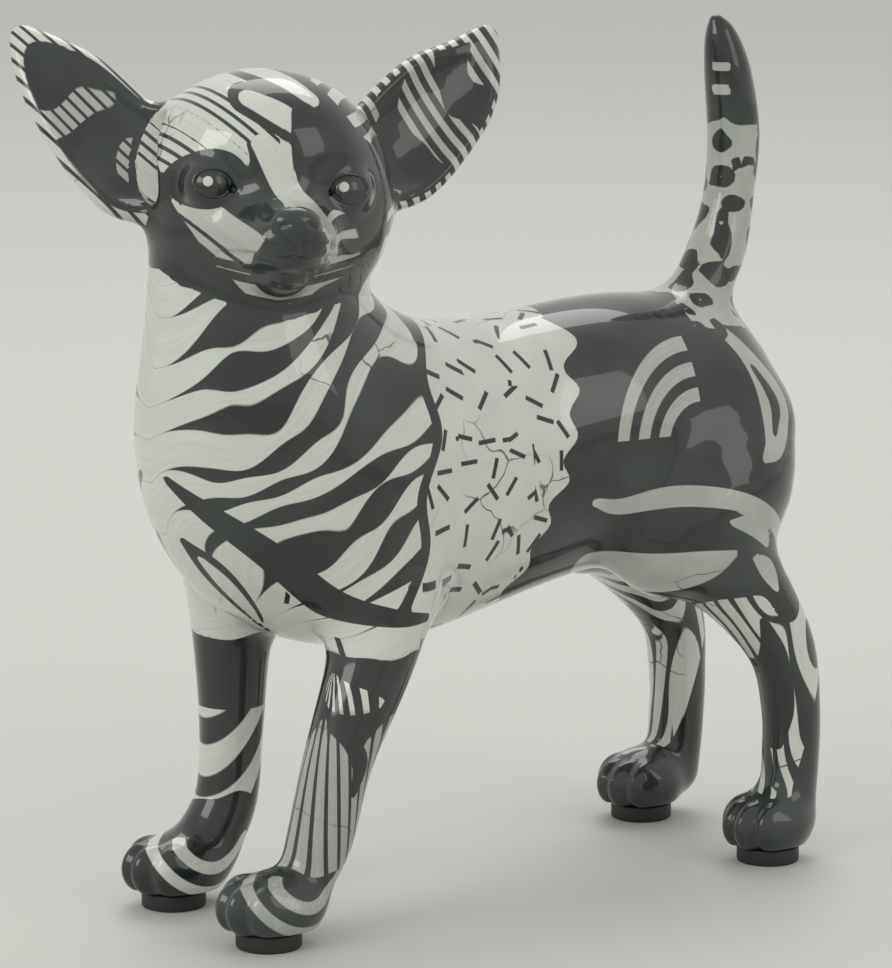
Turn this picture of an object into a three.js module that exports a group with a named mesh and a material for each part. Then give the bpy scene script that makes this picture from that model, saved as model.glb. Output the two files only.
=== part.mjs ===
// A cast resin dog, a chihuahua that looks round to its left, on four round stick-on foot pads.
// Millimetres, +Z up, +Y towards the tail, +X to the dog's left. The origin is on the ground
// under the middle of the whole object.
import * as THREE from "three";

// Driving dimensions
const figureHeight = 206;
const padDiameter = 15.5;
const padHeight = 4;
const padEdgeRadius = 0.8;
const padGap = 0.3;

// The casting is laid out in shares of its own height: 98 from the soles to the ear tips
const sharesHigh = 98;
const share = figureHeight / sharesHigh;
const stanceFore = { across: 10.2, along: -34.2 };
const stanceHind = { across: 12.5, along: 34.2 };

// Fineness of the surface: spacing of the samples in shares, and facets kept
const sampleStep = 0.95;
const facetsKept = 7200;
const padSides = 24;

// The soles are left this many sample steps of empty grid below them
const spareSteps = 2.5;

const WORLD = [[1, 0, 0], [0, 1, 0], [0, 0, 1]];
const LEFT = 1;
const RIGHT = -1;
const EMPTY = 1e3;
const TINY = 1e-9;

// Small vector helpers
const dot = (a, b) => a[0] * b[0] + a[1] * b[1] + a[2] * b[2];
const plus = (a, b, k = 1) => [a[0] + b[0] * k, a[1] + b[1] * k, a[2] + b[2] * k];
const cross = (a, b) => [
  a[1] * b[2] - a[2] * b[1],
  a[2] * b[0] - a[0] * b[2],
  a[0] * b[1] - a[1] * b[0],
];
const unit = (a) => a.map((value) => value / Math.hypot(...a));

// Forms: each gives a signed distance to its surface and the box that it reaches

function ball(centre, radii, axes = WORLD) {
  const reach = [0, 1, 2].map((i) =>
    Math.hypot(...axes.map((axis, j) => axis[i] * radii[j])));
  const [across, along, up] = axes;
  const [rx, ry, rz] = radii;
  const distance = (point) => {
    const offset = plus(point, centre, -1);
    const [x, y, z] = [dot(offset, across) / rx, dot(offset, along) / ry, dot(offset, up) / rz];
    const near = Math.sqrt(x * x + y * y + z * z);
    const slope = Math.sqrt((x / rx) ** 2 + (y / ry) ** 2 + (z / rz) ** 2);
    return (near * (near - 1)) / Math.max(slope, TINY);
  };
  return { distance, low: plus(centre, reach, -1), high: plus(centre, reach) };
}

// A smooth curve through stations of place and radius
function smoothStations(stations, steps) {
  const first = stations[0].map((value, i) => 2 * value - stations[1][i]);
  const last = stations.at(-1).map((value, i) => 2 * value - stations.at(-2)[i]);
  const all = [first, ...stations, last];
  const curve = [];
  for (let i = 1; i < all.length - 2; i++) {
    for (let k = 0; k < steps; k++) {
      const t = k / steps;
      curve.push(all[i].map((p1, axis) => {
        const [p0, p2, p3] = [all[i - 1][axis], all[i + 1][axis], all[i + 2][axis]];
        const bend = (2 * p0 - 5 * p1 + 4 * p2 - p3) * t * t;
        return 0.5 * (2 * p1 + (p2 - p0) * t + bend + (3 * p1 - p0 - 3 * p2 + p3) * t ** 3);
      }));
    }
  }
  curve.push(stations.at(-1));
  return curve;
}

// A tapered limb along stations [x, y, z, radius]; squash narrows its section along axes
const leastRadius = 0.05;
const steepestTaper = 0.95;

function limb(stations, { axes = WORLD, squash = [1, 1, 1], steps = 5 } = {}) {
  const curve = smoothStations(stations, steps);
  const start = curve[0].slice(0, 3);
  const scaled = (point) => {
    const offset = plus(point, start, -1);
    return [
      dot(offset, axes[0]) / squash[0],
      dot(offset, axes[1]) / squash[1],
      dot(offset, axes[2]) / squash[2],
    ];
  };
  const knots = curve.map((station) => scaled(station));
  const radii = curve.map((station) => Math.max(station[3], leastRadius));
  const bones = knots.slice(1).map((end, i) => {
    const along = plus(end, knots[i], -1);
    const length = Math.hypot(...along);
    const taper = (radii[i + 1] - radii[i]) / length;
    const sine = Math.min(Math.max(taper, -steepestTaper), steepestTaper);
    const lean = sine / Math.sqrt(1 - sine * sine);
    return { from: knots[i], along: unit(along), length, lean, r0: radii[i], r1: radii[i + 1] };
  });
  const thinnest = Math.min(...squash);
  const distance = (point) => {
    const local = scaled(point);
    let nearest = Infinity;
    for (const bone of bones) {
      const offset = plus(local, bone.from, -1);
      const h = dot(offset, bone.along);
      const out = Math.sqrt(Math.max(dot(offset, offset) - h * h, 0));
      const t = Math.min(Math.max((h + out * bone.lean) / bone.length, 0), 1);
      const radius = bone.r0 + (bone.r1 - bone.r0) * t;
      const past = h - t * bone.length;
      nearest = Math.min(nearest, Math.sqrt(past * past + out * out) - radius);
    }
    return nearest * thinnest;
  };
  const reach = Math.max(...radii) * Math.max(...squash);
  const extreme = (pick) => [0, 1, 2].map((i) => pick(...curve.map((station) => station[i])));
  const margin = [reach, reach, reach];
  return {
    distance,
    low: plus(extreme(Math.min), margin, -1),
    high: plus(extreme(Math.max), margin),
  };
}

// Everything below a level, within reach of one paw
function below(level, place, reach) {
  return {
    distance: (point) => point[2] - level,
    low: [place[0] - reach, place[1] - reach, level - reach],
    high: [place[0] + reach, place[1] + reach, level],
  };
}

// A soft union: the two surfaces flow into each other over a width of 1.5 blends
const softWidth = (blend) => 1.5 * blend;

function softUnion(a, b, blend) {
  if (blend <= 0) return Math.min(a, b);
  const width = softWidth(blend);
  const h = Math.max(width - Math.abs(a - b), 0) / width;
  return Math.min(a, b) - (h * h * h * width) / 6;
}

// How far outside its own box a form is still counted
const countedWithin = (blend) => softWidth(blend) + 7;

class Sculpture {
  constructor() {
    this.steps = [];
  }

  add(form, blend) {
    this.steps.push({ form, blend, sign: 1 });
  }

  cut(form, blend) {
    this.steps.push({ form, blend, sign: -1 });
  }

  // A step counts only where it can still change the surface
  distance(point) {
    let total = EMPTY;
    for (const { form, blend, sign } of this.steps) {
      const margin = countedWithin(blend);
      const near = [0, 1, 2].every((i) =>
        point[i] > form.low[i] - margin && point[i] < form.high[i] + margin);
      if (near) total = sign * softUnion(sign * total, form.distance(point), blend);
    }
    return total;
  }

  slope(point) {
    const nudge = 0.05;
    return WORLD.map((axis) =>
      (this.distance(plus(point, axis, nudge)) - this.distance(plus(point, axis, -nudge)))
        / (2 * nudge));
  }
}

// The trunk: chest, ribs, brisket and croup, then the neck and the nape
function addTrunk(dog) {
  dog.add(ball([0, -15.1, 45.4], [12, 23.9, 17.3]), 0);
  dog.add(ball([0, 5.8, 48.2], [11.8, 24.5, 15.5]), 8);
  dog.add(ball([0, -26.1, 53.4], [11.8, 16.6, 17.2]), 6);
  dog.add(ball([0, 22.1, 51.7], [12.6, 19.9, 13.3]), 7);
  const neck = [
    [0, -24, 52, 13.5],
    [0.6, -28.5, 61, 12],
    [0.4, -29.6, 71, 11.1],
    [1.4, -26.1, 78, 11.6],
  ];
  dog.add(limb(neck, { squash: [0.92, 1.06, 1] }), 5);
  dog.add(limb([[0, -6.4, 52.8, 7.8], [0, -14.1, 57.2, 6.6], [0.6, -21.4, 63.7, 3.8]]), 6);
}

// One foreleg: the upper arm leaves the shoulder, the lower leg ends in the paw
function addForeleg(dog, side) {
  const lean = side === LEFT ? 3 : 0;
  dog.add(ball([side * 8, -22.4 + lean, 43], [6, 9.5, 12]), 4);
  const left = [
    [9, -17.8, 35.5, 5.7],
    [10.2, -20.8, 28, 4.8],
    [10.6, -25.2, 18, 3.9],
    [10.4, -27.5, 9.5, 3.7],
    [10.2, -29.5, 4.5, 3],
  ];
  const right = [
    [-9, -25.9, 35.5, 6.2],
    [-10, -26.2, 28, 4.5],
    [-10.2, -26.3, 18, 3.7],
    [-10.2, -27, 10, 3.6],
    [-10.2, -29.4, 5, 3.8],
  ];
  dog.add(limb(side === LEFT ? left : right), 3.2);
}

// One hind leg: a full thigh, then the shin back to the hock and the upright foot
function addHindleg(dog, side) {
  const thigh = [[6.6, 31.7, 49.1, 8.2], [7.6, 27.7, 42.7, 10], [8.8, 21.2, 37.6, 6.8]];
  dog.add(limb(thigh.map(([x, ...rest]) => [side * x, ...rest])), 4);
  const back = side === RIGHT ? 2.2 : 0;
  const shin = [
    [9.8, 26.2, 37, 7],
    [11.2, 31.2 + back * 0.4, 31, 5.2],
    [12.2, 36 + back, 23.5, 4],
    [12.5, 37.4 + back, 16, 3.5],
    [12.6, 37.3 + back, 9, 3.4],
    [12.6, 36.8 + back, 3.5, 3.3],
  ];
  dog.add(limb(shin.map(([x, ...rest]) => [side * x, ...rest])), 2.6);
}

// A paw on its stance point: a rounded body with four toes, cut flat at the sole
function addPaw(dog, side, stance, body, toe) {
  const [x, y] = [side * stance.across, stance.along];
  dog.add(ball([x, y + body.back, body.up], body.radii), 2);
  const toes = [[-3.1, toe.outer], [-1.1, toe.inner], [1.1, toe.inner], [3.1, toe.outer]];
  for (const [across, forward] of toes) {
    dog.add(ball([x + across, y - forward, toe.up], [1.45, 2.7, 2.9]), 0.5);
  }
  dog.cut(below(0, [x, y], 12), 0.3);
}

// The tail stands up from the croup in a long bow and narrows to a round tip
function addTail(dog) {
  dog.add(limb([
    [0, 30.5, 56, 7],
    [0, 32.4, 63.5, 3.9],
    [0, 35.5, 70, 3.4],
    [0, 37, 76, 3],
    [0, 37.6, 83, 3.1],
    [0, 36.7, 90, 2.8],
    [0, 35.7, 94.2, 2],
    [0, 34.9, 96.3, 0.9],
  ]), 4);
}

// The head's own axes: to its left, forward out of the face, and up
const headCentre = [0.8, -28.6, 80.5];
const headTurn = { round: 71, lift: 9, tilt: -4 };

function headAxes({ round, lift, tilt }) {
  const [a, p, r] = [round, lift, tilt].map((degrees) => THREE.MathUtils.degToRad(degrees));
  const forward = [Math.sin(a) * Math.cos(p), -Math.cos(a) * Math.cos(p), Math.sin(p)];
  const level = [Math.cos(a), Math.sin(a), 0];
  const upright = cross(level, forward).map((value) => -value);
  const raise = upright[2] < 0 ? upright.map((value) => -value) : upright;
  const left = plus(level.map((value) => value * Math.cos(r)), raise, Math.sin(r));
  const up = plus(raise.map((value) => value * Math.cos(r)), level, -Math.sin(r));
  return [left, forward, up];
}

const FACE = headAxes(headTurn);
const onHead = ([left, forward, up]) =>
  plus(plus(plus(headCentre, FACE[0], left), FACE[1], forward), FACE[2], up);
const stationOnHead = ([left, forward, up, radius]) => [...onHead([left, forward, up]), radius];

function addHead(dog) {
  dog.add(ball(onHead([0, -1.5, 1.9]), [13.1, 12.2, 11.2], FACE), 4);
  dog.add(ball(onHead([0, 0.2, -4.5]), [12.1, 10.6, 8.4], FACE), 1.5);
  dog.add(ball(onHead([0, 3.6, 4.6]), [9.4, 8, 7], FACE), 4);
  const muzzle = [[0, 6, -4.8, 5.8], [0, 11, -5.8, 4.6], [0, 14.6, -6.2, 3.5]];
  dog.add(limb(muzzle.map(stationOnHead), { axes: FACE, squash: [1.24, 1, 0.94], steps: 4 }), 3);
  const jaw = [[0, 5, -9, 4.2], [0, 9.6, -9.5, 2.9], [0, 12.4, -9.3, 1.9]];
  dog.add(limb(jaw.map(stationOnHead), { axes: FACE, squash: [1.2, 1, 0.9], steps: 4 }), 0.8);
  dog.add(ball(onHead([0, 16.9, -4.3]), [2.7, 1.9, 1.75], FACE), 0.7);
  for (const side of [LEFT, RIGHT]) {
    dog.cut(ball(onHead([side * 7.9, 12.6, -0.1]), [4.2, 2.6, 3.4], FACE), 1.6);
    dog.add(ball(onHead([side * 7.5, 7.8, -0.1]), [2.95, 2.9, 2.85], FACE), 1.1);
    addEar(dog, side);
  }
}

// A large pricked ear: a leaf from base to tip, hollowed out in front
function addEar(dog, side) {
  const left = [
    [12.6, -2, 3.8, 5.5],
    [16.2, -4, 5.5, 6.6],
    [21, -6, 10.4, 6.3],
    [24.7, -8, 13.8, 4.7],
    [27.8, -9.3, 18.9, 1.5],
  ];
  const right = [
    [-13.1, -2, 2.6, 6.9],
    [-16.1, -4, 5.1, 6.1],
    [-20.1, -6, 10, 5.1],
    [-23.2, -8, 13.6, 3.3],
    [-25.2, -9.3, 16.2, 1.5],
  ];
  const leaf = (side === LEFT ? left : right).map(stationOnHead);
  const [base, tip] = [leaf[0].slice(0, 3), leaf.at(-1).slice(0, 3)];
  const along = unit(plus(tip, base, -1));
  const front = unit(plus(FACE[1], along, -dot(FACE[1], along)));
  const shape = { axes: [along, cross(along, front), front], squash: [1, 1, 0.42], steps: 4 };
  dog.add(limb(leaf, shape), 1.5);
  const hollow = leaf.map(([x, y, z, radius]) => [...plus([x, y, z], front, 1.9), radius - 1.3]);
  dog.cut(limb(hollow, shape), 0.7);
}

function sculptDog() {
  const dog = new Sculpture();
  addTrunk(dog);
  for (const side of [LEFT, RIGHT]) addForeleg(dog, side);
  for (const side of [LEFT, RIGHT]) addHindleg(dog, side);
  addTail(dog);
  const forePaw = { back: 0.9, up: 2.3, radii: [5.2, 5.7, 4.1] };
  const hindPaw = { back: 0.5, up: 2.5, radii: [4.9, 4.6, 4.2] };
  for (const side of [LEFT, RIGHT]) {
    addPaw(dog, side, stanceFore, forePaw, { outer: 1.6, inner: 3.4, up: 2.7 });
    addPaw(dog, side, stanceHind, hindPaw, { outer: 1.5, inner: 3.1, up: 2.5 });
  }
  addHead(dog);
  return dog;
}

// Sample the sculpture on a regular grid that holds all of it
function sampleGrid(sculpture, step) {
  const forms = sculpture.steps.map(({ form }) => form);
  const low = [0, 1, 2].map((i) => Math.min(...forms.map((form) => form.low[i])) - 2 * step);
  const high = [0, 1, 2].map((i) => Math.max(...forms.map((form) => form.high[i])) + 2 * step);
  low[2] = -spareSteps * step;
  const count = [0, 1, 2].map((i) => Math.ceil((high[i] - low[i]) / step) + 1);
  const values = new Float32Array(count[0] * count[1] * count[2]).fill(EMPTY);
  const at = (i, j, k) => (i * count[1] + j) * count[2] + k;
  for (const { form, blend, sign } of sculpture.steps) {
    const margin = countedWithin(blend);
    const from = [0, 1, 2].map((i) =>
      Math.max(0, Math.ceil((form.low[i] - margin - low[i]) / step)));
    const to = [0, 1, 2].map((i) =>
      Math.min(count[i] - 1, Math.floor((form.high[i] + margin - low[i]) / step)));
    for (let i = from[0]; i <= to[0]; i++) {
      for (let j = from[1]; j <= to[1]; j++) {
        for (let k = from[2]; k <= to[2]; k++) {
          const point = [low[0] + i * step, low[1] + j * step, low[2] + k * step];
          const index = at(i, j, k);
          values[index] = sign * softUnion(sign * values[index], form.distance(point), blend);
        }
      }
    }
  }
  return { low, step, count, values, at };
}

// Whether the marked corners of a cell hang together along its edges
function hangsTogether(marks) {
  const start = [0, 1, 2, 3, 4, 5, 6, 7].find((c) => marks & (1 << c));
  if (start === undefined) return true;
  let found = 1 << start;
  for (let round = 0; round < 8; round++) {
    for (let c = 0; c < 8; c++) {
      if (!(found & (1 << c))) continue;
      for (let axis = 0; axis < 3; axis++) found |= marks & (1 << (c ^ (1 << axis)));
    }
  }
  return found === marks;
}

// Open or close the pinched cells, where two sheets of the surface would share a point
const barely = 0.01;

function clearPinches({ count, values, at }) {
  const simple = Array.from({ length: 256 }, (_, marks) =>
    hangsTogether(marks) && hangsTogether(255 - marks));
  const corners = new Array(8);
  let pinched = true;
  while (pinched) {
    pinched = false;
    for (let i = 0; i < count[0] - 1; i++) {
      for (let j = 0; j < count[1] - 1; j++) {
        for (let k = 0; k < count[2] - 1; k++) {
          let marks = 0;
          for (let c = 0; c < 8; c++) {
            corners[c] = at(i + (c & 1), j + ((c >> 1) & 1), k + ((c >> 2) & 1));
            if (values[corners[c]] < 0) marks |= 1 << c;
          }
          if (simple[marks]) continue;
          const weakest = corners.reduce((a, b) =>
            (Math.abs(values[b]) < Math.abs(values[a]) ? b : a));
          values[weakest] = values[weakest] < 0 ? barely : -barely;
          pinched = true;
        }
      }
    }
  }
}

// Surface nets: one point in each cell that the surface crosses, one face across each crossed edge
function surfaceNets({ low, step, count, values, at }) {
  const points = [];
  const triangles = [];
  const pointOf = new Int32Array(values.length).fill(-1);
  const corner = (i, j, k, c) => at(i + (c & 1), j + ((c >> 1) & 1), k + ((c >> 2) & 1));
  for (let i = 0; i < count[0] - 1; i++) {
    for (let j = 0; j < count[1] - 1; j++) {
      for (let k = 0; k < count[2] - 1; k++) {
        const sum = [0, 0, 0];
        let crossings = 0;
        for (let c = 0; c < 8; c++) {
          const here = values[corner(i, j, k, c)];
          for (let axis = 0; axis < 3; axis++) {
            if (c & (1 << axis)) continue;
            const there = values[corner(i, j, k, c | (1 << axis))];
            if (here < 0 === there < 0) continue;
            const t = here / (here - there);
            for (let n = 0; n < 3; n++) sum[n] += ((c >> n) & 1) + (n === axis ? t : 0);
            crossings++;
          }
        }
        if (crossings === 0) continue;
        pointOf[at(i, j, k)] = points.length;
        points.push([i, j, k].map((index, n) => low[n] + (index + sum[n] / crossings) * step));
      }
    }
  }
  const face = (a, b, c, d, flip) => {
    const quad = flip ? [d, c, b, a] : [a, b, c, d];
    const spread = (m, n) => Math.hypot(...plus(points[quad[m]], points[quad[n]], -1));
    const turn = spread(0, 2) <= spread(1, 3) ? 0 : 1;
    const [p, q, r, s] = [0, 1, 2, 3].map((n) => quad[(n + turn) % 4]);
    triangles.push([p, q, r], [p, r, s]);
  };
  for (let i = 1; i < count[0] - 1; i++) {
    for (let j = 1; j < count[1] - 1; j++) {
      for (let k = 1; k < count[2] - 1; k++) {
        const inside = values[at(i, j, k)] < 0;
        for (let axis = 0; axis < 3; axis++) {
          const next = [0, 1, 2].map((n) => (n === axis ? 1 : 0));
          if (inside === values[at(i + next[0], j + next[1], k + next[2])] < 0) continue;
          const u = [0, 1, 2].map((n) => (n === (axis + 1) % 3 ? 1 : 0));
          const v = [0, 1, 2].map((n) => (n === (axis + 2) % 3 ? 1 : 0));
          const cell = (a, b) =>
            pointOf[at(i - a * u[0] - b * v[0], j - a * u[1] - b * v[1], k - a * u[2] - b * v[2])];
          face(cell(1, 1), cell(0, 1), cell(0, 0), cell(1, 0), !inside);
        }
      }
    }
  }
  return { points, triangles };
}

// Move each point along the slope until it lies on the sculpture's surface
const gentlestSlope = 0.2;

function settle(points, sculpture, step) {
  for (const point of points) {
    for (let pass = 0; pass < 2; pass++) {
      const slope = sculpture.slope(point);
      const steep = Math.max(dot(slope, slope), gentlestSlope);
      const miss = Math.min(Math.max(sculpture.distance(point), -step), step);
      for (let n = 0; n < 3; n++) point[n] -= (slope[n] * miss) / steep;
    }
  }
}

// A heap that gives the cheapest edge first
class Heap {
  constructor() {
    this.items = [];
  }

  push(item) {
    const { items } = this;
    let at = items.length;
    items.push(item);
    while (at > 0) {
      const parent = (at - 1) >> 1;
      if (items[parent].cost <= item.cost) break;
      items[at] = items[parent];
      at = parent;
    }
    items[at] = item;
  }

  pop() {
    const { items } = this;
    const top = items[0];
    const last = items.pop();
    if (items.length === 0) return top;
    let at = 0;
    for (;;) {
      let child = 2 * at + 1;
      if (child >= items.length) break;
      if (child + 1 < items.length && items[child + 1].cost < items[child].cost) child++;
      if (items[child].cost >= last.cost) break;
      items[at] = items[child];
      at = child;
    }
    items[at] = last;
    return top;
  }
}

// The sum of squared distances to planes, kept as the ten numbers of a symmetric form
function planeForm([a, b, c], d, weight) {
  return [a * a, a * b, a * c, a * d, b * b, b * c, b * d, c * c, c * d, d * d]
    .map((value) => value * weight);
}

function formCost(q, [x, y, z]) {
  return q[0] * x * x + q[4] * y * y + q[7] * z * z + q[9]
    + 2 * (q[1] * x * y + q[2] * x * z + q[5] * y * z + q[3] * x + q[6] * y + q[8] * z);
}

// The place with the least cost, or null where the form is too flat to fix one
const tooFlat = 1e-4;

function formLowest(q) {
  const rows = [[q[0], q[1], q[2]], [q[1], q[4], q[5]], [q[2], q[5], q[7]]];
  const volume = dot(rows[0], cross(rows[1], rows[2]));
  const size = q[0] + q[4] + q[7];
  if (Math.abs(volume) < tooFlat * size ** 3) return null;
  const pull = [-q[3], -q[6], -q[8]];
  return [
    dot(pull, cross(rows[1], rows[2])) / volume,
    dot(rows[0], cross(pull, rows[2])) / volume,
    dot(rows[0], cross(rows[1], pull)) / volume,
  ];
}

// Thin a closed surface out by collapsing edges, the flattest first. A collapse is left out
// where it would turn a face far over or leave a sliver; long edges cost a little more.
const evenness = 2e-4;
const leastTurnCosine = 0.3;
const leastFullness = 0.08;

function thinOut({ points, triangles }, keep) {
  const facesAt = points.map(() => new Set());
  const forms = points.map(() => new Array(10).fill(0));
  const stamps = new Uint32Array(points.length);
  const normalOf = ([a, b, c]) =>
    cross(plus(points[b], points[a], -1), plus(points[c], points[a], -1));
  triangles.forEach((triangle, index) => {
    const normal = normalOf(triangle);
    const area = Math.hypot(...normal);
    const facing = normal.map((value) => value / (area || 1));
    const form = planeForm(facing, -dot(facing, points[triangle[0]]), area);
    for (const corner of triangle) {
      facesAt[corner].add(index);
      form.forEach((value, n) => { forms[corner][n] += value; });
    }
  });

  const neighbours = (point) => {
    const around = new Set();
    for (const index of facesAt[point]) triangles[index].forEach((corner) => around.add(corner));
    around.delete(point);
    return around;
  };
  const propose = (heap, a, b) => {
    const form = forms[a].map((value, n) => value + forms[b][n]);
    const length = Math.hypot(...plus(points[a], points[b], -1));
    const middle = plus(points[a], points[b]).map((value) => value / 2);
    const lowest = formLowest(form);
    const near = lowest && Math.hypot(...plus(lowest, middle, -1)) < length;
    const place = near ? lowest : middle;
    const cost = formCost(form, place) + evenness * length ** 4;
    heap.push({ cost, a, b, place, stamp: stamps[a] + stamps[b] });
  };
  const staysUpright = (point, other, place) => {
    for (const index of facesAt[point]) {
      const triangle = triangles[index];
      if (triangle.includes(other)) continue;
      const before = normalOf(triangle);
      const [a, b, c] = triangle.map((corner) => (corner === point ? place : points[corner]));
      const sides = [plus(b, a, -1), plus(c, a, -1), plus(c, b, -1)];
      const after = cross(sides[0], sides[1]);
      const sizes = Math.hypot(...before) * Math.hypot(...after);
      const longest = Math.max(...sides.map((side) => Math.hypot(...side)));
      if (dot(before, after) < leastTurnCosine * sizes) return false;
      if (Math.hypot(...after) < leastFullness * longest ** 2) return false;
    }
    return true;
  };

  const heap = new Heap();
  points.forEach((_, a) => {
    for (const b of neighbours(a)) if (a < b) propose(heap, a, b);
  });
  let left = triangles.length;
  while (left > keep && heap.items.length > 0) {
    const { a, b, place, stamp } = heap.pop();
    if (facesAt[a].size === 0 || facesAt[b].size === 0 || stamp !== stamps[a] + stamps[b]) continue;
    const around = neighbours(b);
    const shared = [...neighbours(a)].filter((point) => around.has(point));
    if (shared.length !== 2) continue;
    if (!staysUpright(a, b, place) || !staysUpright(b, a, place)) continue;
    points[a] = place;
    forms[a] = forms[a].map((value, n) => value + forms[b][n]);
    for (const index of facesAt[b]) {
      const triangle = triangles[index];
      if (triangle.includes(a)) {
        triangle.forEach((corner) => facesAt[corner].delete(index));
        triangles[index] = null;
        left--;
      } else {
        triangle[triangle.indexOf(b)] = a;
        facesAt[a].add(index);
      }
    }
    facesAt[b].clear();
    stamps[a] += 1;
    stamps[b] += 1;
    for (const point of neighbours(a)) propose(heap, a, point);
  }
  return { points, triangles: triangles.filter((triangle) => triangle !== null) };
}

// The casting: sculpted in shares, thinned out, and sized in millimetres
function dogGeometry() {
  const dog = sculptDog();
  const grid = sampleGrid(dog, sampleStep);
  clearPinches(grid);
  const surface = surfaceNets(grid);
  settle(surface.points, dog, sampleStep);
  const { points, triangles } = thinOut(surface, facetsKept);
  const geometry = new THREE.BufferGeometry();
  const positions = triangles.flat().flatMap((corner) =>
    points[corner].map((value) => value * share));
  geometry.setAttribute("position", new THREE.Float32BufferAttribute(positions, 3));
  geometry.computeVertexNormals();
  return geometry;
}

// One pad: a round disc, flat above and below, with rounded rims
function padGeometry() {
  const radius = padDiameter / 2;
  const rimSteps = 2;
  const rim = (middle, start) => {
    const arc = [];
    for (let i = 0; i <= rimSteps; i++) {
      const angle = start + (i / rimSteps) * (Math.PI / 2);
      const out = radius - padEdgeRadius + padEdgeRadius * Math.cos(angle);
      arc.push(new THREE.Vector2(out, middle + padEdgeRadius * Math.sin(angle)));
    }
    return arc;
  };
  const profile = [
    new THREE.Vector2(0, 0),
    ...rim(padEdgeRadius, -Math.PI / 2),
    ...rim(padHeight - padEdgeRadius, 0),
    new THREE.Vector2(0, padHeight),
  ];
  return new THREE.LatheGeometry(profile, padSides).rotateX(Math.PI / 2);
}

// Materials
const glossPrint = new THREE.MeshStandardMaterial({ color: 0x8d8f8b, roughness: 0.12 });
const padRubber = new THREE.MeshStandardMaterial({ color: 0x141515, roughness: 0.6 });

const object = new THREE.Group();

const figure = new THREE.Mesh(dogGeometry(), glossPrint);
figure.name = "dog_figure";
figure.position.z = padHeight + padGap;
object.add(figure);

for (const [end, stance] of [["fore", stanceFore], ["hind", stanceHind]]) {
  for (const [sideName, side] of [["left", LEFT], ["right", RIGHT]]) {
    const pad = new THREE.Mesh(padGeometry(), padRubber);
    pad.name = `pad_${sideName}_${end}`;
    pad.position.set(side * stance.across * share, stance.along * share, 0);
    object.add(pad);
  }
}

// Put the origin under the middle of the whole object
const extent = new THREE.Box3().setFromObject(object);
const middle = extent.getCenter(new THREE.Vector3());
for (const piece of object.children) {
  piece.position.x -= middle.x;
  piece.position.y -= middle.y;
}

export default object;
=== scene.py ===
import math

import bpy
import numpy as np
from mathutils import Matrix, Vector


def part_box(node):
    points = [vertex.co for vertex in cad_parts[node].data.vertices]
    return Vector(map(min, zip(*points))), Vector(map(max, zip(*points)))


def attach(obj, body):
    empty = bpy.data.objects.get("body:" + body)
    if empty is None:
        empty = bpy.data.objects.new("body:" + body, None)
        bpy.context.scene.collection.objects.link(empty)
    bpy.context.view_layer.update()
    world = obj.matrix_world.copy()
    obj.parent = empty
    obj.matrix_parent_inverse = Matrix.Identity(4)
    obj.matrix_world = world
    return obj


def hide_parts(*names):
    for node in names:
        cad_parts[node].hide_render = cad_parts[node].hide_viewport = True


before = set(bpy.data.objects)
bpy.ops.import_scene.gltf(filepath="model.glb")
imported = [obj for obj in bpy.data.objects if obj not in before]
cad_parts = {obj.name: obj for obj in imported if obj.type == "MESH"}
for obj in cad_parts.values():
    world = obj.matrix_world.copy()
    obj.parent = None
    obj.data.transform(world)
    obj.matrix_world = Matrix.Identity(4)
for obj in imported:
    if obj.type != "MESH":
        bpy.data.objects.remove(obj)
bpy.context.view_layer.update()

# Sizes, as in the CAD part: millimetres, and shares of the casting's height above its soles
FIGURE_HEIGHT = 206.0
SHARES_HIGH = 98.0
SHARE = FIGURE_HEIGHT / SHARES_HIGH
SOLE_HEIGHT = 4.3
STANCE_FORE = (10.2, -34.2)
STANCE_HIND = (12.5, 34.2)
LEFT, RIGHT = 1, -1
PADS = ("pad_left_fore", "pad_right_fore", "pad_left_hind", "pad_right_hind")
METRE = 1000.0

# Where the camera stands, seen from the dog
AZIMUTH, ELEVATION = math.radians(55.6), math.radians(10.1)

# The middle of the stance in the frame, in millimetres
pad_middles = [sum(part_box(pad), Vector()) / 2 * METRE for pad in PADS]
STANCE_MIDDLE = np.array([*(sum(pad_middles, Vector()) / len(PADS)).xy, SOLE_HEIGHT])


def to_metres(places):
    """Places in shares, on the stance, as metres in the frame."""
    return (np.asarray(places, float) * SHARE + STANCE_MIDDLE) / METRE


# Signed-distance forms, as in the CAD part


def unit(vector):
    vector = np.asarray(vector, float)
    return vector / np.linalg.norm(vector)


class Ball:
    """An ellipsoid; its own axes are given as rows."""

    def __init__(self, centre, radii, axes=None):
        self.centre = np.asarray(centre, float)
        self.radii = np.asarray(radii, float) * np.ones(3)
        self.axes = np.eye(3) if axes is None else axes
        reach = np.sqrt(((self.axes * self.radii[:, None]) ** 2).sum(0))
        self.low, self.high = self.centre - reach, self.centre + reach

    def distance(self, points):
        local = (points - self.centre) @ self.axes.T
        near = np.sqrt(((local / self.radii) ** 2).sum(-1))
        slope = np.sqrt(((local / self.radii**2) ** 2).sum(-1))
        return near * (near - 1) / np.maximum(slope, 1e-9)


def smooth_stations(stations, steps):
    """A smooth curve through stations of place and radius."""
    stations = np.asarray(stations, float)
    first = 2 * stations[0] - stations[1]
    last = 2 * stations[-1] - stations[-2]
    ends = np.vstack([first, stations, last])
    curve = []
    for p0, p1, p2, p3 in zip(ends, ends[1:], ends[2:], ends[3:]):
        for t in np.arange(steps) / steps:
            bend = (2 * p0 - 5 * p1 + 4 * p2 - p3) * t**2
            cubic = (3 * p1 - p0 - 3 * p2 + p3) * t**3
            curve.append(0.5 * (2 * p1 + (p2 - p0) * t + bend + cubic))
    return np.array([*curve, stations[-1]])


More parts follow.
